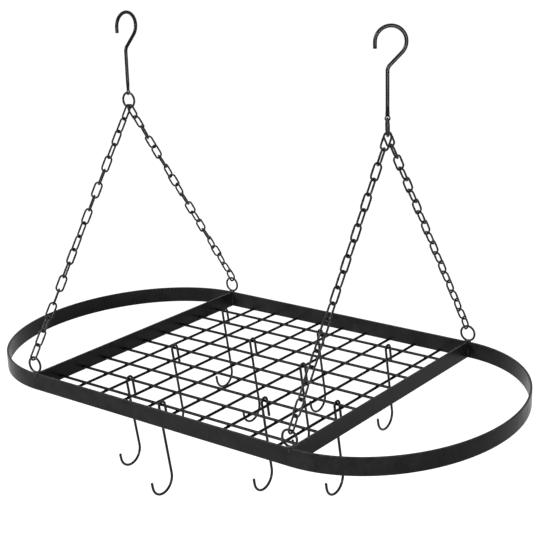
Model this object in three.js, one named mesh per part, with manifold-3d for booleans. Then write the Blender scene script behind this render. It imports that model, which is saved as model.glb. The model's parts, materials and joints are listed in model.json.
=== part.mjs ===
// Hanging pot rack: an oval rim of flat bar, two crossbars and a welded grid of round wires, hung by four
// chains from two ceiling hooks, with S-hooks for pots on its long wires.
//
// Millimetres. +Z is up, +X runs along the rack and -Y is its front. The origin is midway between the two
// ceiling hooks, at the inside top of their crowns, where the hooks bear on what holds them.

import * as THREE from 'three';
import { mergeVertices } from 'three/addons/utils/BufferGeometryUtils.js';
import Module from 'manifold-3d';

const wasm = await Module();
wasm.setup();

const toRadians = THREE.MathUtils.degToRad;

// ---------------------------------------------------------------- driving dimensions

const CLEARANCE = 0.3; // between pieces that touch or are welded together

const RIM_LENGTH = 800; // outside, along X
const RIM_WIDTH = 440; // outside, along Y
const CROSSBAR_SPACING = 440; // centre to centre, along X
const BAR_HEIGHT = 24; // flat bar of the rim and the crossbars, on edge
const BAR_THICKNESS = 3;

const GRID_WIRE = 3.9; // diameter
const LONG_WIRES = 9;
const CROSS_WIRES = 9;

const RING_DIAMETER = 25; // outside, all six rings
const RING_WIRE = 3.2;

const LINK_LENGTH = 20.2; // inside
const LINK_WIDTH = 8; // inside
const LINK_WIRE = 2.8;
const LINKS_PER_CHAIN = 19;
const LINKS_PER_SEGMENT = 5; // the last segment of a chain takes what is left
const LINK_FUSE = 0.35; // how far linked neighbours sink into each other inside a segment

const HOOK_WIRE = 5; // ceiling hook
const HOOK_RADIUS = 20; // crown, to the middle of the wire
const HOOK_OFFSET = 4; // crown's centre, from the stem
const HOOK_TIP = 8; // straight end of the hook, below the crown's centre
const HOOK_SLANT = 45; // degrees, of the run from the crown back to the stem
const HOOK_STEM_BEND = 10; // radius
const HOOK_STEM = 58; // straight, down to the middle of the eye
const EYE_DIAMETER = 7.8;
const EYE_HOLE = 4.2;

const S_HOOK_WIRE = 3.7;
const S_HOOK_SLACK = 1.8; // between the crown's sides and the wire that it hangs on
const S_HOOK_BACK_LEG = 26;
const S_HOOK_STEM = 104;
const S_HOOK_BOWL = 20; // radius, to the middle of the wire
const S_HOOK_TIP = 8;
const S_HOOK_MARGIN = 0.5; // least gap beside a cross wire

// Each ceiling hook's turn about its stem, in degrees (at 90 its plane is YZ). The top links of its two chains
// lie side by side on its ring, `apart` from face to face, with the front chain's `towards` the ring's +X or -X.
const SUSPENSIONS = {
  left: { side: -1, turn: 90, towards: -1, apart: 1 },
  right: { side: 1, turn: 40, towards: 1, apart: 4.2 },
};

// Slow twist of each chain, in degrees, and how many times it comes and goes along the chain.
const CHAIN_TWIST = {
  front_left: { swing: 34, waves: 2 },
  back_left: { swing: 24, waves: 3 },
  front_right: { swing: 10, waves: 1 },
  back_right: { swing: 14, waves: 2 },
};

// Each S-hook hangs on long wire `row`, counted from the back, in the cell `cell` to the right of cross wire
// number `cell`, with 0 for the left crossbar, at the share `along` of that cell's free width.
const S_HOOK_PLACES = [
  { row: 8, cell: 2, along: 0.02 },
  { row: 9, cell: 4, along: 0.38 },
  { row: 5, cell: 1, along: 0.4 },
  { row: 1, cell: 0, along: 0.39 },
  { row: 3, cell: 3, along: 0.21 },
  { row: 7, cell: 6, along: 0.91 },
  { row: 1, cell: 4, along: 0.78 },
  { row: 6, cell: 8, along: 0.93 },
  { row: 1, cell: 7, along: 0.56 },
  { row: 4, cell: 6, along: 0.04 },
];

// Facets.
const RIM_END_STEPS = 14; // per quarter of an end
const GRID_WIRE_SIDES = 8;
const RING_STEPS = 16;
const EYE_STEPS = 16;
const LINK_STEPS = 8;
const WIRE_SIDES = 6;
const BEND_STEP = toRadians(24); // of a bent wire

// ---------------------------------------------------------------- derived places

const CROSSBAR_X = CROSSBAR_SPACING / 2;
const RIM_MIDDLE_Y = (RIM_WIDTH - BAR_THICKNESS) / 2;
const RIM_INSIDE_Y = RIM_WIDTH / 2 - BAR_THICKNESS;
const END_REACH = RIM_LENGTH / 2 - CROSSBAR_X;

const RING_RADIUS = (RING_DIAMETER - RING_WIRE) / 2; // to the middle of the wire

const CROWN_Z = HOOK_WIRE / 2 - HOOK_RADIUS; // centre of the crown
const SLANT = toRadians(HOOK_SLANT);
const SLANT_TOP_X = HOOK_OFFSET + HOOK_RADIUS * Math.cos(SLANT);
const SLANT_TOP_Z = CROWN_Z - HOOK_RADIUS * Math.sin(SLANT);
const SLANT_FOOT_X = HOOK_STEM_BEND * (1 - Math.cos(SLANT));
const SLANT_FOOT_Z = SLANT_TOP_Z - (SLANT_TOP_X - SLANT_FOOT_X) / Math.tan(SLANT);
const STEM_TOP_Z = SLANT_FOOT_Z - HOOK_STEM_BEND * Math.sin(SLANT);
const EYE_Z = STEM_TOP_Z - HOOK_STEM;
const HOOK_RING_Z = EYE_Z - (EYE_HOLE - RING_WIRE) / 2 + CLEARANCE - RING_RADIUS; // centre

const SEGMENTS_PER_CHAIN = Math.ceil(LINKS_PER_CHAIN / LINKS_PER_SEGMENT);
const FUSED_STEP = LINK_LENGTH + LINK_FUSE;
const LOOSE_STEP = LINK_LENGTH - CLEARANCE;
const RING_HOLD = RING_WIRE / 2 + CLEARANCE; // from the middle of a ring's wire to the link on it
const CHAIN_REACH =
  (LINKS_PER_CHAIN - SEGMENTS_PER_CHAIN) * FUSED_STEP +
  (SEGMENTS_PER_CHAIN - 1) * LOOSE_STEP +
  LINK_LENGTH -
  2 * RING_HOLD;
const CHAIN_TOP_Z = HOOK_RING_Z - RING_RADIUS;
const CHAIN_DROP = Math.sqrt(CHAIN_REACH ** 2 - RIM_MIDDLE_Y ** 2);
const CORNER_RING_Z = CHAIN_TOP_Z - CHAIN_DROP - RING_RADIUS; // centre
const BAR_TOP_Z = CORNER_RING_Z - RING_DIAMETER / 2 - CLEARANCE;
const BAR_BOTTOM_Z = BAR_TOP_Z - BAR_HEIGHT;
const CROSS_WIRE_Z = BAR_BOTTOM_Z + GRID_WIRE / 2;
const LONG_WIRE_Z = CROSS_WIRE_Z + GRID_WIRE + CLEARANCE;

const GRID_SPAN_X = CROSSBAR_SPACING - BAR_THICKNESS; // between the crossbars
const GRID_SPAN_Y = 2 * RIM_INSIDE_Y; // inside the rim
const CELL_X = GRID_SPAN_X / (CROSS_WIRES + 1);
const CELL_Y = GRID_SPAN_Y / (LONG_WIRES + 1);
const longWireY = (row) => RIM_INSIDE_Y - row * CELL_Y;
const crossWireX = (column) => -GRID_SPAN_X / 2 + column * CELL_X;

// ---------------------------------------------------------------- materials

const blackPaint = (name, color, roughness) =>
  new THREE.MeshStandardMaterial({ name, color, roughness, metalness: 0.35 });

const materials = {
  frame: blackPaint('frame', 0x242424, 0.42),
  grid: blackPaint('grid', 0x1d1d1d, 0.45),
  chain: blackPaint('chain', 0x2a2a2a, 0.38),
  ring: blackPaint('ring', 0x232323, 0.38),
  hook: blackPaint('hook', 0x2b2b2b, 0.4),
};

// ---------------------------------------------------------------- shapes

/** Middle line of a bent wire, from lines and arcs in one plane, with a section at each end of each step. */
class BentWire extends THREE.Curve {
  /** @param {THREE.Path} path the middle line, drawn in the XY plane and stood up in XZ here */
  constructor(path) {
    super();
    this.stations = path.curves.flatMap((curve) => {
      const turn = curve.isEllipseCurve ? Math.abs(curve.aEndAngle - curve.aStartAngle) : 0;
      const steps = Math.max(1, Math.round(turn / BEND_STEP));
      return Array.from({ length: steps }, (_, i) => ({ curve, t: i / steps }));
    });
    this.stations.push({ curve: path.curves.at(-1), t: 1 });
    this.steps = this.stations.length - 1;
  }

  station(t) {
    return this.stations[Math.round(t * this.steps)];
  }

  getPoint(t, target = new THREE.Vector3()) {
    const { curve, t: along } = this.station(t);
    const point = curve.getPoint(along);
    return target.set(point.x, 0, point.y);
  }

  getTangent(t, target = new THREE.Vector3()) {
    const { curve, t: along } = this.station(t);
    const tangent = curve.getTangent(along);
    return target.set(tangent.x, 0, tangent.y).normalize();
  }

  getUtoTmapping(u) {
    return u;
  }
}

/** Round wire of a given diameter, bent along a path in the XZ plane. */
function wireAlong(path, diameter) {
  const bent = new BentWire(path);
  const section = new THREE.Shape();
  for (let i = 0; i < WIRE_SIDES; i++) {
    const angle = (i / WIRE_SIDES) * 2 * Math.PI;
    const x = (diameter / 2) * Math.cos(angle);
    const y = (diameter / 2) * Math.sin(angle);
    if (i === 0) {
      section.moveTo(x, y);
    } else {
      section.lineTo(x, y);
    }
  }
  section.closePath();
  return new THREE.ExtrudeGeometry(section, { steps: bent.steps, extrudePath: bent });
}

/** Ring of round wire in the XZ plane, about the origin, with a facet's middle at its top and bottom. */
function ringGeometry() {
  const halfStep = Math.PI / RING_STEPS;
  const radius = RING_RADIUS / Math.cos(halfStep);
  const ring = new THREE.TorusGeometry(radius, RING_WIRE / 2, WIRE_SIDES, RING_STEPS);
  return ring.rotateZ(halfStep).rotateX(Math.PI / 2);
}

/** Chain link in the XY plane: a ring with a facet's middle at each end, its halves drawn apart along X. */
function linkGeometry() {
  const halfStep = Math.PI / LINK_STEPS;
  const endRadius = (LINK_WIDTH + LINK_WIRE) / 2;
  const drawnOut = (LINK_LENGTH - LINK_WIDTH * Math.cos(halfStep)) / 2;
  const link = new THREE.TorusGeometry(endRadius, LINK_WIRE / 2, WIRE_SIDES, LINK_STEPS);
  link.rotateZ(halfStep);
  const position = link.attributes.position;
  for (let i = 0; i < position.count; i++) {
    position.setX(i, position.getX(i) + Math.sign(position.getX(i)) * drawnOut);
  }
  return link;
}

/** Half of the rim's outline, from its back to its front round one end. */
function roundEnd(outline, side, inset) {
  outline.absellipse(
    side * CROSSBAR_X,
    0,
    END_REACH - inset,
    RIM_WIDTH / 2 - inset,
    side > 0 ? -Math.PI / 2 : Math.PI / 2,
    side > 0 ? Math.PI / 2 : (3 * Math.PI) / 2,
  );
}

/** Closed outline of the rim: two straight sides between the crossbars, and an elliptic curve at each end. */
function rimOutline(Kind, inset) {
  const outline = new Kind();
  roundEnd(outline, 1, inset);
  roundEnd(outline, -1, inset);
  outline.closePath();
  return outline;
}

// ---------------------------------------------------------------- joining solids

function toSolid(geometry) {
  const bare = new THREE.BufferGeometry();
  bare.setAttribute('position', geometry.attributes.position.clone());
  if (geometry.index) {
    bare.setIndex(geometry.index.clone());
  }
  const merged = mergeVertices(bare, 1e-4);
  const vertProperties = new Float32Array(merged.attributes.position.array);
  const triVerts = new Uint32Array(merged.index.array);
  return new wasm.Manifold(new wasm.Mesh({ numProp: 3, vertProperties, triVerts }));
}

function joined(geometries) {
  const solids = geometries.map(toSolid);
  const whole = solids.reduce((sum, solid) => sum.add(solid));
  const { vertProperties, triVerts } = whole.getMesh();
  const geometry = new THREE.BufferGeometry();
  geometry.setAttribute('position', new THREE.BufferAttribute(vertProperties, 3));
  geometry.setIndex(new THREE.BufferAttribute(triVerts, 1));
  geometry.computeVertexNormals();
  return geometry;
}

// ---------------------------------------------------------------- the rack

const rack = new THREE.Group();

function addPiece(name, geometry, material, parent = rack) {
  const piece = new THREE.Mesh(geometry, material);
  piece.name = name;
  parent.add(piece);
  return piece;
}

function addRim() {
  const section = rimOutline(THREE.Shape, 0);
  section.holes.push(rimOutline(THREE.Path, BAR_THICKNESS));
  const geometry = new THREE.ExtrudeGeometry(section, {
    depth: BAR_HEIGHT,
    bevelEnabled: false,
    curveSegments: RIM_END_STEPS,
  });
  addPiece('rim', geometry, materials.frame).position.z = BAR_BOTTOM_Z;
}

function addCrossbar(name, x) {
  const length = GRID_SPAN_Y - 2 * CLEARANCE;
  const geometry = new THREE.BoxGeometry(BAR_THICKNESS, length, BAR_HEIGHT);
  addPiece(name, geometry, materials.frame).position.set(x, 0, (BAR_TOP_Z + BAR_BOTTOM_Z) / 2);
}

/** Straight grid wire along Y, or along X where it is turned. */
function addGridWire(name, span, x, y, z, alongX) {
  const length = span - 2 * CLEARANCE;
  const geometry = new THREE.CylinderGeometry(GRID_WIRE / 2, GRID_WIRE / 2, length, GRID_WIRE_SIDES);
  if (alongX) {
    geometry.rotateZ(Math.PI / 2);
  }
  addPiece(name, geometry, materials.grid).position.set(x, y, z);
}

function addGrid() {
  for (let row = 1; row <= LONG_WIRES; row++) {
    addGridWire(`long_wire_${row}`, GRID_SPAN_X, 0, longWireY(row), LONG_WIRE_Z, true);
  }
  for (let column = 1; column <= CROSS_WIRES; column++) {
    addGridWire(`cross_wire_${column}`, GRID_SPAN_Y, crossWireX(column), 0, CROSS_WIRE_Z, false);
  }
}

/** Ceiling hook with its stem along Z, in the XZ plane, and an eye at its lower end. */
function ceilingHookGeometry() {
  const line = new THREE.Path();
  line.moveTo(HOOK_OFFSET - HOOK_RADIUS, CROWN_Z - HOOK_TIP);
  line.lineTo(HOOK_OFFSET - HOOK_RADIUS, CROWN_Z);
  line.absarc(HOOK_OFFSET, CROWN_Z, HOOK_RADIUS, Math.PI, -SLANT, true);
  line.lineTo(SLANT_FOOT_X, SLANT_FOOT_Z);
  line.absarc(HOOK_STEM_BEND, STEM_TOP_Z, HOOK_STEM_BEND, Math.PI - SLANT, Math.PI, false);
  line.lineTo(0, EYE_Z + (EYE_DIAMETER + EYE_HOLE) / 4);

  const eyeRadius = (EYE_DIAMETER + EYE_HOLE) / 4;
  const eye = new THREE.TorusGeometry(eyeRadius, (EYE_DIAMETER - EYE_HOLE) / 4, WIRE_SIDES, EYE_STEPS);
  eye.rotateX(Math.PI / 2).translate(0, 0, EYE_Z);
  return joined([wireAlong(line, HOOK_WIRE), eye]);
}

/** Points where a chain starts, on its hook ring, and where it ends, on its corner ring. */
function chainEnds(x, y, ringTurn, beside) {
  const across = new THREE.Vector3(Math.cos(ringTurn), Math.sin(ringTurn), 0);
  const angle = Math.asin(beside / RING_RADIUS);
  const top = new THREE.Vector3(x, 0, HOOK_RING_Z - RING_RADIUS * Math.cos(angle));
  top.addScaledVector(across, beside);
  const tangent = across.multiplyScalar(Math.cos(angle)).setZ(Math.sin(angle));

  // The chain hangs square to X, so its bottom link lies beside the corner ring's top.
  const rise = Math.sqrt(RING_RADIUS ** 2 - (top.x - x) ** 2);
  const bottom = new THREE.Vector3(top.x, y, CORNER_RING_Z + rise);
  return { top, bottom, tangent };
}

/** One chain, as segments of links, each link turned a quarter from the one above it, with a slow twist. */
function addChain(name, ends, twist) {
  const run = new THREE.Vector3().subVectors(ends.bottom, ends.top);
  const down = run.clone().normalize();

  // Neighbours inside a segment take up the small differences in length between the chains.
  const fusedStep = FUSED_STEP + (run.length() - CHAIN_REACH) / (LINKS_PER_CHAIN - SEGMENTS_PER_CHAIN);

  // The top link stands square to its ring's wire, and the bottom one square to X.
  const squareTo = (axis) => axis.clone().addScaledVector(down, -axis.dot(down)).normalize();
  const firstNormal = squareTo(ends.tangent);
  const lastNormal = squareTo(new THREE.Vector3(1, 0, 0));
  const ringTwist = Math.atan2(
    new THREE.Vector3().crossVectors(lastNormal, firstNormal).dot(down),
    lastNormal.dot(firstNormal),
  );

  let along = LINK_LENGTH / 2 - RING_HOLD;
  let links = [];
  let segment = 1;
  for (let i = 0; i < LINKS_PER_CHAIN; i++) {
    const share = i / (LINKS_PER_CHAIN - 1);
    const sway = toRadians(twist.swing) * Math.sin(Math.PI * twist.waves * share) ** 2;
    const angle = (i * Math.PI) / 2 + ringTwist * (1 - share) + sway;
    const normal = lastNormal.clone().applyAxisAngle(down, angle);
    const side = new THREE.Vector3().crossVectors(normal, down);
    const place = new THREE.Matrix4().makeBasis(down, side, normal);
    place.setPosition(ends.top.clone().addScaledVector(down, along));
    links.push(linkGeometry().applyMatrix4(place));

    const segmentEnds = (i + 1) % LINKS_PER_SEGMENT === 0 || i === LINKS_PER_CHAIN - 1;
    if (segmentEnds) {
      addPiece(`${name}_segment_${segment}`, joined(links), materials.chain);
      links = [];
      segment += 1;
    }
    along += segmentEnds ? LOOSE_STEP : fusedStep;
  }
}

function addSuspension(name, { side, turn, towards, apart }) {
  const x = side * CROSSBAR_X;
  const hookTurn = toRadians(turn);
  const ringTurn = hookTurn - Math.PI / 2;
  const beside = (towards * (LINK_WIRE + apart)) / 2;
  const hook = addPiece(`ceiling_hook_${name}`, ceilingHookGeometry(), materials.hook);
  hook.position.x = x;
  hook.rotation.z = hookTurn;

  const hookRing = addPiece(`hook_ring_${name}`, ringGeometry(), materials.ring);
  hookRing.position.set(x, 0, HOOK_RING_Z);
  hookRing.rotation.z = ringTurn;

  for (const [end, toBack] of [['front', -1], ['back', 1]]) {
    const corner = `${end}_${name}`;
    const y = toBack * RIM_MIDDLE_Y;
    const cornerRing = addPiece(`corner_ring_${corner}`, ringGeometry(), materials.ring);
    cornerRing.position.set(x, y, CORNER_RING_Z);
    addChain(`chain_${corner}`, chainEnds(x, y, ringTurn, -toBack * beside), CHAIN_TWIST[corner]);
  }
}

/** Middle line of an S-hook about the wire that it hangs on: leg, crown, stem, bowl and tip. */
function sHookLine() {
  const crown = (GRID_WIRE + S_HOOK_WIRE) / 2 + S_HOOK_SLACK;
  const crownZ = (GRID_WIRE + S_HOOK_WIRE) / 2 + CLEARANCE - crown;
  const bowlZ = crownZ - S_HOOK_STEM;
  const line = new THREE.Path();
  line.moveTo(crown, crownZ - S_HOOK_BACK_LEG);
  line.lineTo(crown, crownZ);
  line.absarc(0, crownZ, crown, 0, Math.PI, false);
  line.lineTo(-crown, bowlZ);
  line.absarc(-crown - S_HOOK_BOWL, bowlZ, S_HOOK_BOWL, 0, -Math.PI, true);
  line.lineTo(-crown - 2 * S_HOOK_BOWL, bowlZ + S_HOOK_TIP);
  return line;
}

/** Angle at which a bent wire hangs from the origin, its centre of mass straight below. */
function hangAngle(line) {
  const points = line.getPoints(32);
  let weight = 0;
  const moment = new THREE.Vector2();
  for (let i = 1; i < points.length; i++) {
    const length = points[i].distanceTo(points[i - 1]);
    weight += length;
    moment.addScaledVector(points[i], length / 2).addScaledVector(points[i - 1], length / 2);
  }
  moment.divideScalar(weight);
  return Math.atan2(-moment.x, -moment.y);
}

function addSHooks() {
  const line = sHookLine();
  const lean = hangAngle(line);
  const margin = (GRID_WIRE + S_HOOK_WIRE) / 2 + S_HOOK_MARGIN;
  S_HOOK_PLACES.forEach(({ row, cell, along }, i) => {
    const x = crossWireX(cell) + margin + along * (CELL_X - 2 * margin);
    const geometry = wireAlong(line, S_HOOK_WIRE).rotateZ(Math.PI / 2).rotateX(lean);
    addPiece(`s_hook_${i + 1}`, geometry, materials.hook).position.set(x, longWireY(row), LONG_WIRE_Z);
  });
}

addRim();
addCrossbar('crossbar_left', -CROSSBAR_X);
addCrossbar('crossbar_right', CROSSBAR_X);
addGrid();
addSuspension('left', SUSPENSIONS.left);
addSuspension('right', SUSPENSIONS.right);
addSHooks();

export default rack;
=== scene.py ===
"""Looks of a hanging pot rack: an oval rim of flat bar with a welded wire grid, four chains, two ceiling
hooks and ten S-hooks, all in satin black paint.

Metres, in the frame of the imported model: +X runs along the rack, -Y is its front and +Z is up."""

import json
import math
import random

import bmesh
import bpy
from mathutils import Matrix, Vector, noise


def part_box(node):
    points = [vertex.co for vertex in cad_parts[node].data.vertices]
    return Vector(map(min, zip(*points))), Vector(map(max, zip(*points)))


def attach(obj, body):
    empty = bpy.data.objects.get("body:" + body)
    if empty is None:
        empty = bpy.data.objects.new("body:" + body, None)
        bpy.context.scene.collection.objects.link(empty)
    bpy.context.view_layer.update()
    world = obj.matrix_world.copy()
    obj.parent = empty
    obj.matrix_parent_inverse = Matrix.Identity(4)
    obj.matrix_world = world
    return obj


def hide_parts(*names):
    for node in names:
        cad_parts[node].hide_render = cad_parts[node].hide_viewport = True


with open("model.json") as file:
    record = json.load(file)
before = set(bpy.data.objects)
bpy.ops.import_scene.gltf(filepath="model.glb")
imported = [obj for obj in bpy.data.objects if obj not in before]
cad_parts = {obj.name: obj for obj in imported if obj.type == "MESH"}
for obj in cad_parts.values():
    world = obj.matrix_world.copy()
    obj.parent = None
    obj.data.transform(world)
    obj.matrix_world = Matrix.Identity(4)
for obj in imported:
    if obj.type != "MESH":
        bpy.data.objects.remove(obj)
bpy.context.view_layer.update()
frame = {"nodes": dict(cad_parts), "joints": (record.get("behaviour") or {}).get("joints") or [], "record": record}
joints = {joint["name"]: joint for joint in frame["joints"]}
node_body = {n: body for body, nodes in frame["record"]["behaviour"]["bodies"].items() for n in nodes}

MM = 0.001
UP = Vector((0, 0, 1))

# ---------------------------------------------------------------- sizes

BAR_EDGE = 0.5 * MM  # radius of a flat bar's edges
BAR_EDGE_STEPS = 3
BAR_EDGE_SUPPORT = 0.4 * MM  # flat strip beside each rounded edge
BAR_END_SUPPORT = (0.004, 0.012, 0.04, 0.3)  # shares of a crossbar's half length, from its end

RIM_END_STEPS = 64  # in each bent end
RIM_SIDE_STEPS = 24  # in each straight side
RIM_WAVE = 0.22 * MM  # how far the bar strays inward
RIM_WAVE_SCALE = 9  # of the noise that it strays by, per metre
RIM_CALM_SCALE = 4  # of the noise that leaves stretches straight, per metre
RIM_CALM_GAIN = 3  # times that noise, up to 1, is the share of the straying that is left
RIM_SEAM = 0.35 * MM  # how far the ground butt weld at the back stands proud
RIM_SEAM_X = 25 * MM
RIM_SEAM_MARGIN = 0.3 * MM  # between the weld's ends and the bar's rounded edges

BEAD = 0.9 * MM  # radius of the weld in each corner between a crossbar and the rim
BEAD_FOOT = 2.5 * MM  # its lower end, above the bar's lower edge
BEAD_HEAD = 1.5 * MM  # its upper end, below the bar's upper edge
BEAD_STEP = 0.5 * MM
BEAD_SIDES = 10
BEAD_END = 0.15  # share of its radius left at its tapered ends
BEAD_TAPER = 6  # power of its taper; a higher one keeps it full for longer
RIPPLE = 0.12  # share by which a bead swells and shrinks
RIPPLE_LENGTH = 2.2 * MM
UNEVENNESS = 0.04  # share, at random
LUMP_SCALE = 1.6  # of the noise over a lump of weld, per half size
LUMP_STRIDES = (7.3, 1.7, 3.1)  # from one part of that noise to another, for each unit of a lump's seed

WIRE_SIDES = 16
GRID_WIRE_SPANS = 10
WELD_FLARE = 0.4 * MM  # of a grid wire where it is welded to a bar
WELD_FLARE_LENGTH = 2.2 * MM
FLARE_SHAPE = [(0, 1.0), (0.12, 0.7), (0.3, 0.36), (0.55, 0.12), (1.0, 0.0)]  # shares of length and of flare
NUGGET = Vector((1.5, 1.5, 0.8)) * MM  # half sizes of the weld where two grid wires cross

RING_WIRE = 3.2 * MM
RING_STEPS = 72
RING_SIDES = 14
RING_SEAM = 0.1  # share by which the wire swells at its butt weld
RING_SEAM_SPREAD = 0.07  # radians along the ring
CORNER_RING_SEAM = math.radians(-90)
HOOK_RING_SEAM = math.radians(200)
RING_WELD = Vector((5.2, 1.8, 1.5)) * MM  # half sizes of the weld under a corner ring
RING_WELD_RISE = 0.3 * MM  # its middle, above the rim's top edge
WELD_RUN = Vector((2.4, 0.9, 3.2)) * MM  # half sizes of the weld that ran down the rim's outer face
WELD_RUN_SHIFT = 0.6 * MM
WELD_RUN_DROP = 2 * MM

LINK_WIRE = 2.8 * MM
LINK_PLAY = 0.75 * MM  # between a ring's wire and the link on it
LINK_WIDTH = 7.2 * MM  # inside
LINK_SIDES = 10
LINK_END_STEPS = 10  # per half turn
LINK_SIDE_STEPS = 8
LINK_SEAM = 0.16  # share by which the wire swells at its butt weld
LINK_SEAM_SPREAD = 1.0 * MM
LINKS_PER_CHAIN = 19
LINKS_PER_SEGMENT = 5

# Degrees that each chain is twisted by, at even steps from its hook ring down to its corner ring.
CHAIN_TWIST = {
    "front_left": (0, 20, 46, 83, 118, 150, 180),
    "back_left": (0, 0, -34, -17, 15, 27, -10, -30, -12, 24, 36, 4, 11, 22, -14, -28, -16, -5, 0),
    "front_right": (-12, -15, -13, -7, 0, 0, 0),
    "back_right": (-16, -23, -19, -15, -10, -7, 0),
}

HOOK_TURN = {"left": 90, "right": 40}  # degrees, of each ceiling hook about its stem
HOOK_WIRE = 5 * MM
HOOK_RADIUS = 19.4 * MM
HOOK_OFFSET = 4 * MM  # of the crown's centre from the stem
HOOK_CROWN = -17.6 * MM  # height of the crown's centre
HOOK_TIP = 8 * MM
HOOK_CHAMFER = 2 * MM  # over which the cut tip takes its full radius
HOOK_SLANT = math.radians(45)
HOOK_STEM_BEND = 10 * MM
EYE_DIAMETER = 7.8 * MM
EYE_HOLE = 4.2 * MM
EYE_THICKNESS = 2.3 * MM
EYE_STEPS = 40
EYE_NECK = 9 * MM  # over which the stem flattens into its eye
EYE_NECK_SWELL = 0.12  # share by which it widens there
STEM_STEPS = 12

S_HOOKS = 10
S_HOOK_WIRE = 3.7 * MM
S_HOOK_CROWN = 5.6 * MM  # radius, to the middle of the wire
S_HOOK_DROP = 1.5 * MM  # of the crown's centre below the grid wire's
S_HOOK_BACK_LEG = 26 * MM
S_HOOK_STEM = 104 * MM
S_HOOK_BOWL = 19.6 * MM
S_HOOK_TIP = 8 * MM
S_HOOK_BULB = 0.08  # share by which the paint swells the ends

BEND_STEP = math.radians(7)
LEG_STEPS = 10
CROWN_STEPS = 16
S_HOOK_STEM_STEPS = 8
TIP_STEPS = 4
SLANT_STEPS = 4

# Ends of a wire: shares of the end's length from the tip, with shares of the wire's radius.
ROUND_END = [(1 - math.cos(math.radians(d)), math.sin(math.radians(d))) for d in (18, 36, 54, 72, 90)]
CUT_END = [(0, 0.8), (0.06, 0.93), (0.18, 1.0), (1.0, 1.0)]
PLAIN_END = [(0, 1.0)]

# ---------------------------------------------------------------- paint

# Noise scales, per metre.
CLOUDS = 45
DUST = 260
GRAIN = 1100
# The next one breaks up the lighter edges, which are partly wear and partly a painted highlight.
WEAR_AND_HIGHLIGHT_PATCHES = 150

# Noise values at which each starts to show, and at which it shows fully.
CLOUD_RANGE = (0.35, 0.65)
GLOSS_RANGE = (0.3, 0.7)
DUST_RANGE = (0.58, 0.76)
PATCH_RANGE = (0.42, 0.62)

# Colours, as multiples of the paint's tone.
DARK = (0.8, 0.8, 0.82)
LIGHT = (1.25, 1.24, 1.27)
DUSTY = (2.2, 2.2, 2.25)
# The last one lightens the edges: partly a thinner coat of paint there, partly a painted highlight along them.
THIN_COAT_AND_HIGHLIGHT = (7, 7, 7)

DUST_COVER = 0.35  # largest share of the colour that dust takes
WEAR_AND_HIGHLIGHT_COVER = 0.8  # the same for the lighter edge, partly a thin coat and partly a painted highlight
CLOUD_GLOSS = (-0.06, 0.07)  # change of the roughness, as the next one
GRAIN_GLOSS = (-0.01, 0.01)

PEEL_DEPTH = 0.05 * MM
GRAIN_DEPTH = 0.01 * MM
GRAIN_RELIEF = 0.12

# Pointiness at which an edge starts to lighten, partly as a thinner coat of paint and partly as a painted
# highlight, and at which it lightens fully.
BAR_WEAR_AND_HIGHLIGHT = (0.505, 0.56)
WIRE_WEAR_AND_HIGHLIGHT = (0.62, 0.75)

# The last range of each look sets where edges lighten: partly wear, partly a painted highlight along them.
LOOKS = {
    "frame": dict(tone=0.009, roughness=0.3, shine=0.055, peel=1.8 * MM, relief=0.3, wear_and_highlight=BAR_WEAR_AND_HIGHLIGHT),
    "grid": dict(tone=0.005, roughness=0.26, shine=0.05, peel=1.2 * MM, relief=0.3, wear_and_highlight=WIRE_WEAR_AND_HIGHLIGHT),
    "chain": dict(tone=0.008, roughness=0.26, shine=0.15, peel=1.0 * MM, relief=0.2, wear_and_highlight=WIRE_WEAR_AND_HIGHLIGHT),
    "ring": dict(tone=0.008, roughness=0.26, shine=0.15, peel=1.0 * MM, relief=0.2, wear_and_highlight=WIRE_WEAR_AND_HIGHLIGHT),
    "hook": dict(tone=0.004, roughness=0.2, shine=0.14, peel=1.0 * MM, relief=0.06, wear_and_highlight=WIRE_WEAR_AND_HIGHLIGHT),
}


class Nodes:
    """Short ways to add and link the nodes of one material."""

    def __init__(self, tree):
        self.tree = tree

    def add(self, kind, **settings):
        """A new node. Each setting is one of its properties, or else the value of its input of that name."""
        node = self.tree.nodes.new(kind)
        for key, value in settings.items():
            if hasattr(node, key):
                setattr(node, key, value)
            else:
                node.inputs[key.replace("_", " ").title()].default_value = value
        return node

    def link(self, start, end):
        self.tree.links.new(start, end)

    def noise(self, coordinates, scale, detail=3.0, roughness=0.5):
        node = self.add("ShaderNodeTexNoise", scale=scale, detail=detail, roughness=roughness)
        self.link(coordinates, node.inputs["Vector"])
        return node.outputs["Fac"]

    def remap(self, value, low, high, to_low, to_high):
        node = self.add("ShaderNodeMapRange", clamp=True)
        for name, number in (("From Min", low), ("From Max", high), ("To Min", to_low), ("To Max", to_high)):
            node.inputs[name].default_value = number
        self.link(value, node.inputs["Value"])
        return node.outputs["Result"]

    def mix(self, share, first, second):
        """A colour between two; each is a plain colour or another node's output."""
        node = self.add("ShaderNodeMix", data_type="RGBA")
        self.link(share, node.inputs["Factor"])
        for name, colour in (("A", first), ("B", second)):
            socket = next(s for s in node.inputs if s.name == name and s.type == "RGBA")
            if isinstance(colour, bpy.types.NodeSocket):
                self.link(colour, socket)
            else:
                socket.default_value = (*colour, 1)
        return next(s for s in node.outputs if s.type == "RGBA")

    def combine(self, operation, first, second):
        """The outcome of a Math node on two other nodes' outputs."""
        node = self.add("ShaderNodeMath", operation=operation)
        self.link(first, node.inputs[0])
        self.link(second, node.inputs[1])
        return node.outputs[0]

    def bump(self, height, strength, distance, normal=None):
        node = self.add("ShaderNodeBump", strength=strength, distance=distance)
        self.link(height, node.inputs["Height"])
        if normal is not None:
            self.link(normal, node.inputs["Normal"])
        return node.outputs["Normal"]


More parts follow.
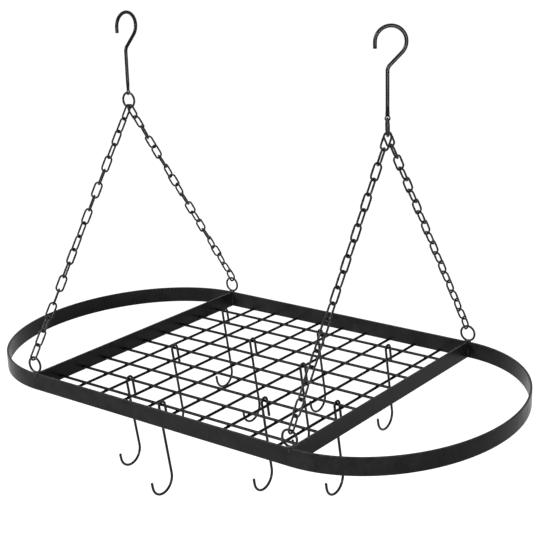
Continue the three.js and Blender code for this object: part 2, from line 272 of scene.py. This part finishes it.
def black_paint(name, tone, roughness, shine, peel, relief, wear_and_highlight):
    """Satin black paint on steel: orange peel, cloudy gloss, faint dust, and lighter edges, partly a thinner coat
    and partly a painted highlight along them.

    tone is the paint's grey, roughness its middle value and shine its specular level. peel is the size of the
    orange peel in metres, and relief its strength. The last one is one of the ranges of pointiness above, at which
    the edges lighten as wear and as a painted highlight."""
    material = bpy.data.materials.new(name)
    material.use_nodes = True
    nodes = Nodes(material.node_tree)
    paint = material.node_tree.nodes["Principled BSDF"]
    paint.inputs["Specular IOR Level"].default_value = shine
    paint.inputs["Metallic"].default_value = 0.0
    place = nodes.add("ShaderNodeTexCoord").outputs["Object"]

    clouds = nodes.noise(place, CLOUDS, detail=4)
    grain = nodes.noise(place, GRAIN, detail=2)
    dust = nodes.remap(nodes.noise(place, DUST, detail=6, roughness=0.7), *DUST_RANGE, 0, DUST_COVER)
    # Lighter edges: partly a thinner coat of paint, partly a painted highlight along the edges.
    edges = nodes.remap(nodes.add("ShaderNodeNewGeometry").outputs["Pointiness"], *wear_and_highlight, 0, WEAR_AND_HIGHLIGHT_COVER)
    patches = nodes.remap(nodes.noise(place, WEAR_AND_HIGHLIGHT_PATCHES, detail=5), *PATCH_RANGE, 0, 1)
    worn_and_highlit = nodes.combine("MULTIPLY", edges, patches)

    dark, light, dusty, thin_and_highlight = (tuple(tone * c for c in tint) for tint in (DARK, LIGHT, DUSTY, THIN_COAT_AND_HIGHLIGHT))
    colour = nodes.mix(nodes.remap(clouds, *CLOUD_RANGE, 0, 1), dark, light)
    colour = nodes.mix(dust, colour, dusty)
    nodes.link(nodes.mix(worn_and_highlit, colour, thin_and_highlight), paint.inputs["Base Color"])

    cloudy = nodes.remap(clouds, *GLOSS_RANGE, *(roughness + change for change in CLOUD_GLOSS))
    grainy = nodes.remap(grain, *GLOSS_RANGE, *GRAIN_GLOSS)
    nodes.link(nodes.combine("ADD", cloudy, grainy), paint.inputs["Roughness"])

    skin = nodes.bump(nodes.noise(place, 1 / peel, detail=2, roughness=0.4), relief, PEEL_DEPTH)
    nodes.link(nodes.bump(grain, GRAIN_RELIEF, GRAIN_DEPTH, skin), paint.inputs["Normal"])
    return material


paints = {slot: black_paint(f"{slot}_paint", **look) for slot, look in LOOKS.items()}

# ---------------------------------------------------------------- shapes


def centre_of(node):
    low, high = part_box(node)
    return (low + high) / 2


def place_piece(shape, node, slot):
    """Makes the piece that stands for a CAD node, in the paint of its slot, on the node's body."""
    bmesh.ops.recalc_face_normals(shape, faces=shape.faces)
    mesh = bpy.data.meshes.new(node + "_shape")
    shape.to_mesh(mesh)
    shape.free()
    mesh.materials.append(paints[slot])
    piece = bpy.data.objects.new(node + "_painted", mesh)
    bpy.context.scene.collection.objects.link(piece)
    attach(piece, node_body[node])
    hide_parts(node)


def straight(start, end, steps):
    """Points of a straight run in a plane, each with its heading, without the last point."""
    heading = math.atan2(end[1] - start[1], end[0] - start[0])
    for i in range(steps):
        share = i / steps
        yield Vector(start).lerp(Vector(end), share), heading


def arc(centre, radius, first, last, steps=None):
    """Points of an arc from one angle to another, each with its heading, without the last point."""
    steps = steps or max(2, round(abs(last - first) / BEND_STEP))
    turn = math.copysign(math.pi / 2, last - first)
    for i in range(steps):
        angle = first + (last - first) * i / steps
        yield Vector(centre) + radius * Vector((math.cos(angle), math.sin(angle))), angle + turn


def add_skin(shape, rings, closed):
    """Joins rings of vertices, each to the next, and caps the two ends unless the last joins the first."""
    following = rings[1:] + rings[:1] if closed else rings[1:]
    for ring, after in zip(rings, following):
        for i in range(len(ring)):
            j = (i + 1) % len(ring)
            shape.faces.new((ring[i], ring[j], after[j], after[i])).smooth = True
    if not closed:
        shape.faces.new(rings[0])
        shape.faces.new(rings[-1])


def add_tube(shape, stations, turn_to, sides=WIRE_SIDES, closed=False):
    """Adds a wire along a flat path to a mesh.

    A station is its point and heading in the plane, and the wire's half width in the plane and half thickness
    out of it. turn_to takes the plane's X and Z to the frame."""
    out_of_plane = (turn_to.to_3x3() @ Vector((0, 1, 0))).normalized()
    rings = []
    for point, heading, wide, thick in stations:
        middle = turn_to @ Vector((point.x, 0, point.y))
        across = (turn_to.to_3x3() @ Vector((-math.sin(heading), 0, math.cos(heading)))).normalized()
        ring = []
        for i in range(sides):
            angle = 2 * math.pi * i / sides
            offset = across * (wide * math.cos(angle)) + out_of_plane * (thick * math.sin(angle))
            ring.append(shape.verts.new(middle + offset))
        rings.append(ring)
    add_skin(shape, rings, closed)


def with_ends(path, radius, end_length, end_shapes, bulb=0.0):
    """Stations of a wire whose first and last end_length take the two end_shapes.

    bulb is the share by which the wire swells where each end meets it."""
    stations = []
    first, first_heading = path[0]
    ahead = Vector((math.cos(first_heading), math.sin(first_heading)))
    for share, size in end_shapes[0]:
        stations.append((first + ahead * (end_length * share), first_heading, radius * size, radius * size))
    body = path[1:-1]
    for i, (point, heading) in enumerate(body):
        size = radius * (1 + bulb) if i in (0, len(body) - 1) else radius
        stations.append((point, heading, size, size))
    last, last_heading = path[-1]
    ahead = Vector((math.cos(last_heading), math.sin(last_heading)))
    for share, size in reversed(end_shapes[1]):
        stations.append((last - ahead * (end_length * share), last_heading, radius * size, radius * size))
    return stations


def add_blob(shape, middle, half_sizes, seed, detail=2, rough=0.12):
    """Adds a lump of weld: an uneven ellipsoid. seed picks the part of the noise that makes it uneven."""
    made = bmesh.ops.create_icosphere(shape, subdivisions=detail, radius=1.0)
    offset = Vector([seed * stride for stride in LUMP_STRIDES])
    for vertex in made["verts"]:
        swell = 1 + rough * noise.noise(vertex.co * LUMP_SCALE + offset)
        vertex.co = middle + Vector(a * b * swell for a, b in zip(vertex.co, half_sizes))
    for face in {face for vertex in made["verts"] for face in vertex.link_faces}:
        face.smooth = True


def bar_section(thickness, height):
    """Outline of a flat bar's section about its middle, with rounded edges and a flat strip beside each."""
    half_x, half_z = thickness / 2 - BAR_EDGE, height / 2 - BAR_EDGE
    outline = []
    for quarter, (side_x, side_z) in enumerate(((1, 1), (-1, 1), (-1, -1), (1, -1))):
        middle = Vector((side_x * half_x, side_z * half_z))
        start = quarter * math.pi / 2
        edge = []
        for i in range(BAR_EDGE_STEPS + 1):
            angle = start + math.pi / 2 * i / BAR_EDGE_STEPS
            edge.append(middle + BAR_EDGE * Vector((math.cos(angle), math.sin(angle))))
        before = Vector((math.sin(start), -math.cos(start))) * BAR_EDGE_SUPPORT
        after = Vector((-math.cos(start), -math.sin(start))) * BAR_EDGE_SUPPORT
        outline += [edge[0] + before, *edge, edge[-1] + after]
    return outline


def add_bar(shape, path, thickness, height, closed=False):
    """Adds a flat bar on edge along a level path of (middle, heading) pairs."""
    section = bar_section(thickness, height)
    rings = []
    for middle, heading in path:
        across = Vector((math.sin(heading), -math.cos(heading), 0))
        rings.append([shape.verts.new(middle + across * p.x + UP * p.y) for p in section])
    add_skin(shape, rings, closed)


def add_bead(shape, start, end, radius, seed):
    """Adds a rippled bead of weld from start to end, tapered at both."""
    spread = random.Random(seed)
    run = end - start
    turn_to = Matrix.Translation(start) @ run.to_track_quat("X", "Z").to_matrix().to_4x4()
    steps = max(8, round(run.length / BEAD_STEP))
    stations = []
    for i in range(steps + 1):
        share = i / steps
        taper = math.sqrt(max(0.0, 1 - (2 * share - 1) ** BEAD_TAPER))
        wave = RIPPLE * math.sin(share * run.length / RIPPLE_LENGTH * 2 * math.pi)
        size = max(BEAD_END, taper) * radius * (1 + wave + spread.uniform(-UNEVENNESS, UNEVENNESS))
        stations.append((Vector((run.length * share, 0)), 0.0, size, size))
    add_tube(shape, stations, turn_to, sides=BEAD_SIDES)


# ---------------------------------------------------------------- rim, crossbars and grid

rim_low, rim_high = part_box("rim")
left_low, left_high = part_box("crossbar_left")
right_low, right_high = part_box("crossbar_right")
BAR_THICKNESS = left_high.x - left_low.x
BAR_HEIGHT = rim_high.z - rim_low.z
BAR_MIDDLE_Z = (rim_high.z + rim_low.z) / 2
CROSSBAR_X = (right_low.x + right_high.x) / 2
RIM_MIDDLE_Y = rim_high.y - BAR_THICKNESS / 2
RIM_INSIDE_Y = rim_high.y - BAR_THICKNESS
END_REACH = rim_high.x - CROSSBAR_X - BAR_THICKNESS / 2


def rim_middle_line():
    """Points of the rim's middle line: half an ellipse beyond each crossbar, and straight sides between."""
    points = []
    for side in (1, -1):
        for i in range(RIM_END_STEPS + 1):
            angle = math.pi * (i / RIM_END_STEPS - 0.5)
            x, y = END_REACH * math.cos(angle), RIM_MIDDLE_Y * math.sin(angle)
            points.append(Vector((side * (CROSSBAR_X + x), side * y, 0)))
        start = points[-1]
        for i in range(1, RIM_SIDE_STEPS):
            points.append(Vector((start.x * (1 - 2 * i / RIM_SIDE_STEPS), start.y, 0)))
    return points


def add_rim():
    line = rim_middle_line()
    path = []
    for i, point in enumerate(line):
        run = line[(i + 1) % len(line)] - line[i - 1]
        heading = math.atan2(run.y, run.x)
        inward = Vector((-math.sin(heading), math.cos(heading), 0))
        waver = RIM_WAVE * (0.5 + 0.5 * noise.noise(point * RIM_WAVE_SCALE))
        waver *= min(1.0, abs(noise.noise(point * RIM_CALM_SCALE)) * RIM_CALM_GAIN)
        path.append((Vector((point.x, point.y, BAR_MIDDLE_Z)) + inward * waver, heading))
    shape = bmesh.new()
    add_bar(shape, path, BAR_THICKNESS, BAR_HEIGHT, closed=True)
    margin = BAR_EDGE + RIM_SEAM_MARGIN
    for face in (0, -1):  # the outer one and the inner one
        seam = Vector((RIM_SEAM_X, RIM_MIDDLE_Y + BAR_THICKNESS / 2 + face * BAR_THICKNESS, 0))
        low = seam + UP * (rim_low.z + margin)
        high = seam + UP * (rim_high.z - margin)
        add_bead(shape, low, high, RIM_SEAM, seed=f"rim{face}")
    place_piece(shape, "rim", "frame")


def add_crossbar(name, side):
    """A straight bar between the rim's two sides, with a bead of weld in each of its four corners."""
    x = side * CROSSBAR_X
    stations = [-1.0, *(-1 + from_end for from_end in BAR_END_SUPPORT)]
    stations += [0.0, *(-share for share in reversed(stations))]
    path = [(Vector((x, share * RIM_INSIDE_Y, BAR_MIDDLE_Z)), math.pi / 2) for share in stations]
    shape = bmesh.new()
    add_bar(shape, path, BAR_THICKNESS, BAR_HEIGHT)
    for end in (-1, 1):
        for face in (-1, 1):
            corner = Vector((x + face * BAR_THICKNESS / 2, end * RIM_INSIDE_Y, 0))
            low = corner + UP * (rim_low.z + BEAD_FOOT)
            high = corner + UP * (rim_high.z - BEAD_HEAD)
            add_bead(shape, low, high, BEAD, seed=f"{name}{end}{face}")
    place_piece(shape, name, "frame")


def add_grid_wire(node, along, reach, crossings=()):
    """One straight wire of the grid, flared where its ends are welded, with the welds at its crossings."""
    low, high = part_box(node)
    middle = (low + high) / 2
    radius = (high.z - low.z) / 2
    turn = 0 if along == "X" else math.pi / 2
    turn_to = Matrix.Translation(middle) @ Matrix.Rotation(turn, 4, "Z")
    stations = []
    for share, size in FLARE_SHAPE:
        grown = radius + WELD_FLARE * size
        stations.append((Vector((-reach + share * WELD_FLARE_LENGTH, 0)), 0.0, grown, grown))
    for i in range(1, GRID_WIRE_SPANS):
        stations.append((Vector((-reach + 2 * reach * i / GRID_WIRE_SPANS, 0)), 0.0, radius, radius))
    for share, size in reversed(FLARE_SHAPE):
        grown = radius + WELD_FLARE * size
        stations.append((Vector((reach - share * WELD_FLARE_LENGTH, 0)), 0.0, grown, grown))
    shape = bmesh.new()
    add_tube(shape, stations, turn_to)
    for i, crossing in enumerate(crossings):
        add_blob(shape, crossing, NUGGET, seed=middle.x * 100 + i)
    place_piece(shape, node, "grid")


def add_grid():
    long_wires = [n for n in frame["nodes"] if n.startswith("long_wire_")]
    cross_wires = [n for n in frame["nodes"] if n.startswith("cross_wire_")]
    long_reach = CROSSBAR_X - BAR_THICKNESS / 2
    for node in long_wires:
        add_grid_wire(node, "X", long_reach)
    for node in cross_wires:
        x = centre_of(node).x
        crossings = []
        for other in long_wires:
            y = centre_of(other).y
            gap_z = (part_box(node)[1].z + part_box(other)[0].z) / 2
            crossings.append(Vector((x, y, gap_z)))
        add_grid_wire(node, "Y", RIM_INSIDE_Y, crossings)


# ---------------------------------------------------------------- rings, chains and ceiling hooks

ring_low, ring_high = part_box("corner_ring_front_left")
RING_RADIUS = (ring_high.z - ring_low.z - RING_WIRE) / 2


def ring_shape(node, turn, seam):
    """Ring of round wire in the place of a node, closed by a butt weld at the angle seam."""
    turn_to = Matrix.Translation(centre_of(node)) @ Matrix.Rotation(turn, 4, "Z")
    stations = []
    for point, heading in arc((0, 0), RING_RADIUS, 0, 2 * math.pi, RING_STEPS):
        angle = math.atan2(point.y, point.x)
        away = abs((angle - seam + math.pi) % (2 * math.pi) - math.pi)
        radius = RING_WIRE / 2 * (1 + RING_SEAM * math.exp(-((away / RING_SEAM_SPREAD) ** 2)))
        stations.append((point, heading, radius, radius))
    shape = bmesh.new()
    add_tube(shape, stations, turn_to, sides=RING_SIDES, closed=True)
    return shape


def add_corner_ring(corner):
    """Upright ring with the weld that holds it on the rim, some of which ran down the rim's outer face."""
    node = f"corner_ring_{corner}"
    shape = ring_shape(node, 0, CORNER_RING_SEAM)
    ring_middle = centre_of(node)
    foot = Vector((ring_middle.x, ring_middle.y, rim_high.z + RING_WELD_RISE))
    add_blob(shape, foot, RING_WELD, seed=foot.x + foot.y, detail=3, rough=0.25)
    outward = math.copysign(BAR_THICKNESS / 2, foot.y)
    run = foot + Vector((WELD_RUN_SHIFT, outward, -WELD_RUN_DROP))
    add_blob(shape, run, WELD_RUN, seed=foot.x - foot.y, detail=3, rough=0.3)
    place_piece(shape, node, "ring")


def add_hook_ring(side):
    node = f"hook_ring_{side}"
    turn = math.radians(HOOK_TURN[side]) - math.pi / 2
    place_piece(ring_shape(node, turn, HOOK_RING_SEAM), node, "ring")


def add_link(shape, place, inside_length, seam_side):
    """One oval link in the plane of place's X and Z, closed by a butt weld on one of its sides."""
    bend = (LINK_WIDTH + LINK_WIRE) / 2
    half = (inside_length + LINK_WIRE) / 2 - bend
    quarter = math.pi / 2
    path = [
        *straight((-half, -bend), (half, -bend), LINK_SIDE_STEPS),
        *arc((half, 0), bend, -quarter, quarter, LINK_END_STEPS),
        *straight((half, bend), (-half, bend), LINK_SIDE_STEPS),
        *arc((-half, 0), bend, quarter, 3 * quarter, LINK_END_STEPS),
    ]
    stations = []
    for point, heading in path:
        near = math.exp(-((point.x / LINK_SEAM_SPREAD) ** 2)) if point.y * seam_side > 0 else 0.0
        radius = LINK_WIRE / 2 * (1 + LINK_SEAM * near)
        stations.append((point, heading, radius, radius))
    add_tube(shape, stations, place, sides=LINK_SIDES, closed=True)


def value_at(values, share):
    """A value at a share of the way along evenly spaced ones."""
    place = share * (len(values) - 1)
    i = min(int(place), len(values) - 2)
    return values[i] + (values[i + 1] - values[i]) * (place - i)


def add_chain(corner):
    """The taut links of one chain. Each bears on its neighbours; the outer two are clear of their rings."""
    side = corner.split("_")[1]
    top = Vector(joints[f"{corner}_chain_sway"]["pos_m"])
    hook_ring = centre_of(f"hook_ring_{side}")
    corner_ring = centre_of(f"corner_ring_{corner}")
    rise = math.sqrt(RING_RADIUS**2 - (top.x - corner_ring.x) ** 2)
    bottom = Vector((top.x, corner_ring.y, corner_ring.z + rise))
    run = bottom - top
    down = run.normalized()
    step = (run.length + RING_WIRE + 2 * LINK_PLAY) / LINKS_PER_CHAIN

    def square_to(axis):
        return (axis - axis.dot(down) * down).normalized()

    ring_turn = math.radians(HOOK_TURN[side]) - math.pi / 2
    across = Vector((math.cos(ring_turn), math.sin(ring_turn), 0))
    angle = math.asin((top - hook_ring).dot(across) / RING_RADIUS)
    first_normal = square_to(across * math.cos(angle) + UP * math.sin(angle))
    last_normal = square_to(Vector((1, 0, 0)))
    ring_twist = math.atan2(last_normal.cross(first_normal).dot(down), last_normal.dot(first_normal))
    twist = CHAIN_TWIST[corner]
    spread = random.Random(corner)
    shape = bmesh.new()
    for i in range(LINKS_PER_CHAIN):
        share = i / (LINKS_PER_CHAIN - 1)
        turn = i * math.pi / 2 + ring_twist * (1 - share) + math.radians(value_at(twist, share))
        normal = Matrix.Rotation(turn, 3, down) @ last_normal
        width = normal.cross(down)
        place = Matrix((down, -normal, width)).transposed().to_4x4()
        place.translation = top + down * (step * (i + 0.5) - RING_WIRE / 2 - LINK_PLAY)
        add_link(shape, place, step, spread.choice((-1, 1)))
        if (i + 1) % LINKS_PER_SEGMENT == 0 or i == LINKS_PER_CHAIN - 1:
            place_piece(shape, f"chain_{corner}_segment_{i // LINKS_PER_SEGMENT + 1}", "chain")
            shape = bmesh.new()
    shape.free()


def add_ceiling_hook(side):
    """Bent rod with a cut tip, flattened at its lower end into an eye."""
    node = f"ceiling_hook_{side}"
    rod = HOOK_WIRE / 2
    axis = Vector((centre_of(f"hook_ring_{side}").x, 0, 0))
    turn_to = Matrix.Translation(axis) @ Matrix.Rotation(math.radians(HOOK_TURN[side]), 4, "Z")
    crown = Vector((HOOK_OFFSET, HOOK_CROWN))
    slant_top = crown + HOOK_RADIUS * Vector((math.cos(HOOK_SLANT), -math.sin(HOOK_SLANT)))
    foot_x = HOOK_STEM_BEND * (1 - math.cos(HOOK_SLANT))
    foot_z = slant_top.y - (slant_top.x - foot_x) / math.tan(HOOK_SLANT)
    stem_top = foot_z - HOOK_STEM_BEND * math.sin(HOOK_SLANT)
    tip_x = HOOK_OFFSET - HOOK_RADIUS
    path = [
        *straight((tip_x, HOOK_CROWN - HOOK_TIP), (tip_x, HOOK_CROWN), TIP_STEPS),
        *arc(crown, HOOK_RADIUS, math.pi, -HOOK_SLANT),
        *straight(slant_top, (foot_x, foot_z), SLANT_STEPS),
        *arc((HOOK_STEM_BEND, stem_top), HOOK_STEM_BEND, math.pi - HOOK_SLANT, math.pi),
        (Vector((0, stem_top)), -math.pi / 2),
    ]
    stations = with_ends(path, rod, HOOK_CHAMFER, (CUT_END, PLAIN_END))

    eye_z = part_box(node)[0].z + EYE_DIAMETER / 2
    eye_wire = (EYE_DIAMETER - EYE_HOLE) / 2
    eye_radius = (EYE_DIAMETER + EYE_HOLE) / 4
    stem_end = eye_z + eye_radius
    for i in range(1, STEM_STEPS + 1):
        z = stem_top + (stem_end - stem_top) * i / STEM_STEPS
        near = max(0.0, 1 - (z - stem_end) / EYE_NECK)
        flat = near * near * (3 - 2 * near)
        wide = rod * (1 + EYE_NECK_SWELL * flat)
        thick = rod + (EYE_THICKNESS / 2 - rod) * flat
        stations.append((Vector((0, z)), -math.pi / 2, wide, thick))
    shape = bmesh.new()
    add_tube(shape, stations, turn_to)
    eye = []
    for point, heading in arc((0, eye_z), eye_radius, 0, 2 * math.pi, EYE_STEPS):
        eye.append((point, heading, eye_wire / 2, EYE_THICKNESS / 2))
    add_tube(shape, eye, turn_to, sides=RING_SIDES, closed=True)
    place_piece(shape, node, "hook")


# ---------------------------------------------------------------- S-hooks


def s_hook_path():
    """Middle line of an S-hook about the grid wire: back leg, crown, stem, bowl and tip."""
    crown_z = -S_HOOK_DROP
    bowl_z = crown_z - S_HOOK_STEM
    bowl_x = -S_HOOK_CROWN - S_HOOK_BOWL
    tip_x = bowl_x - S_HOOK_BOWL
    return [
        *straight((S_HOOK_CROWN, crown_z - S_HOOK_BACK_LEG), (S_HOOK_CROWN, crown_z), LEG_STEPS),
        *arc((0, crown_z), S_HOOK_CROWN, 0, math.pi, CROWN_STEPS),
        *straight((-S_HOOK_CROWN, crown_z), (-S_HOOK_CROWN, bowl_z), S_HOOK_STEM_STEPS),
        *arc((bowl_x, bowl_z), S_HOOK_BOWL, 0, -math.pi),
        *straight((tip_x, bowl_z), (tip_x, bowl_z + S_HOOK_TIP), TIP_STEPS),
        (Vector((tip_x, bowl_z + S_HOOK_TIP)), math.pi / 2),
    ]


def hang_angle(path):
    """Angle at which the bent wire hangs from the origin, its centre of mass straight below."""
    moment = Vector((0, 0))
    for (start, _), (end, _) in zip(path, path[1:]):
        moment += (start + end) / 2 * (end - start).length
    return math.atan2(-moment.x, -moment.y)


def add_s_hooks():
    path = s_hook_path()
    lean = Matrix.Rotation(hang_angle(path), 4, "X")
    radius = S_HOOK_WIRE / 2
    stations = with_ends(path, radius, radius, (ROUND_END, ROUND_END), bulb=S_HOOK_BULB)
    for number in range(1, S_HOOKS + 1):
        node = f"s_hook_{number}"
        hang = Vector(joints[f"{node}_swing"]["pos_m"])
        shape = bmesh.new()
        add_tube(shape, stations, Matrix.Translation(hang) @ lean @ Matrix.Rotation(math.pi / 2, 4, "Z"))
        place_piece(shape, node, "hook")


# ---------------------------------------------------------------- the object

add_rim()
add_crossbar("crossbar_left", -1)
add_crossbar("crossbar_right", 1)
add_grid()
for corner in CHAIN_TWIST:
    add_corner_ring(corner)
    add_chain(corner)
for side in HOOK_TURN:
    add_hook_ring(side)
    add_ceiling_hook(side)
add_s_hooks()

# ---------------------------------------------------------------- floor, light and camera

FLOOR_Z = -2.0
FLOOR_SIZE = 60
FLOOR_GLOW = 0.8  # what the camera and reflections see of the floor, added to its shading
WORLD_STRENGTH = 0.3  # on surfaces; what the camera and reflections see is plain white
RACK_MIDDLE = (0, 0, -0.4)

# Each lamp's place, size and watts; all face the rack's middle. The front one stands where the right ceiling
# hook mirrors it to the camera, and so draws the light line along that hook.
LAMPS = {
    "key": ((-1.3, -2.1, 0.9), (1.0, 1.0), 110),
    "top": ((0.2, 0.1, 2.0), (1.4, 1.4), 8),
    "front": ((1.69, -1.33, -0.28), (0.35, 0.35), 26),
    "low": ((-1.3, -2.1, -1.2), (0.6, 0.5), 1.5),
}

CAMERA_PLACE = Vector((1.045, -1.3148, 0.6635))  # its height is above the rim's lower edge
CAMERA_AZIMUTH = 37.29  # degrees, as the next two
CAMERA_ELEVATION = 16.92
CAMERA_ROLL = -1.53
CAMERA_SENSOR = 36
CAMERA_LENS = 83.84
CAMERA_SHIFT = (-0.0157, 0.0)
CAMERA_CLIP = (0.05, 200)


def seen_directly(nodes):
    """1 for what the camera, a reflection or a refraction sees, and 0 for light on a surface."""
    path = nodes.add("ShaderNodeLightPath").outputs
    first = nodes.combine("MAXIMUM", path["Is Camera Ray"], path["Is Glossy Ray"])
    return nodes.combine("MAXIMUM", first, path["Is Transmission Ray"])


def add_floor():
    bpy.ops.mesh.primitive_plane_add(size=FLOOR_SIZE, location=(0, 0, FLOOR_Z))
    floor = bpy.context.object
    floor.name = "floor"
    material = bpy.data.materials.new("pale_floor")
    material.use_nodes = True
    nodes = Nodes(material.node_tree)
    surface = material.node_tree.nodes["Principled BSDF"]
    surface.inputs["Base Color"].default_value = (0.8, 0.8, 0.8, 1)
    surface.inputs["Roughness"].default_value = 0.9
    surface.inputs["Specular IOR Level"].default_value = 0.0
    surface.inputs["Emission Color"].default_value = (1, 1, 1, 1)
    glow = nodes.remap(seen_directly(nodes), 0, 1, 0, FLOOR_GLOW)
    nodes.link(glow, surface.inputs["Emission Strength"])
    floor.data.materials.append(material)


def light_world():
    world = bpy.data.worlds.new("studio")
    bpy.context.scene.world = world
    world.use_nodes = True
    nodes = Nodes(world.node_tree)
    background = world.node_tree.nodes["Background"]
    background.inputs["Color"].default_value = (1, 1, 1, 1)
    strength = nodes.remap(seen_directly(nodes), 0, 1, WORLD_STRENGTH, 1.0)
    nodes.link(strength, background.inputs["Strength"])


def add_lamp(name, place, size, power):
    light = bpy.data.lights.new(name, "AREA")
    light.shape = "RECTANGLE"
    light.size, light.size_y = size
    light.energy = power
    lamp = bpy.data.objects.new(name, light)
    lamp.location = place
    lamp.rotation_mode = "QUATERNION"
    lamp.rotation_quaternion = (Vector(place) - Vector(RACK_MIDDLE)).to_track_quat("Z", "Y")
    bpy.context.scene.collection.objects.link(lamp)


def add_camera():
    camera = bpy.data.cameras.new("camera")
    camera.sensor_width = CAMERA_SENSOR
    camera.lens = CAMERA_LENS
    camera.shift_x, camera.shift_y = CAMERA_SHIFT
    camera.clip_start, camera.clip_end = CAMERA_CLIP
    viewer = bpy.data.objects.new("camera", camera)
    viewer.location = CAMERA_PLACE + UP * rim_low.z
    turn = Matrix.Rotation(math.radians(CAMERA_AZIMUTH), 4, "Z")
    turn = turn @ Matrix.Rotation(math.pi / 2 - math.radians(CAMERA_ELEVATION), 4, "X")
    turn = turn @ Matrix.Rotation(math.radians(CAMERA_ROLL), 4, "Z")
    viewer.rotation_mode = "QUATERNION"
    viewer.rotation_quaternion = turn.to_quaternion()
    bpy.context.scene.collection.objects.link(viewer)
    bpy.context.scene.camera = viewer


add_floor()
light_world()
for name, (place, size, power) in LAMPS.items():
    add_lamp(name, place, size, power)
add_camera()
bpy.context.scene.view_settings.view_transform = "Standard"
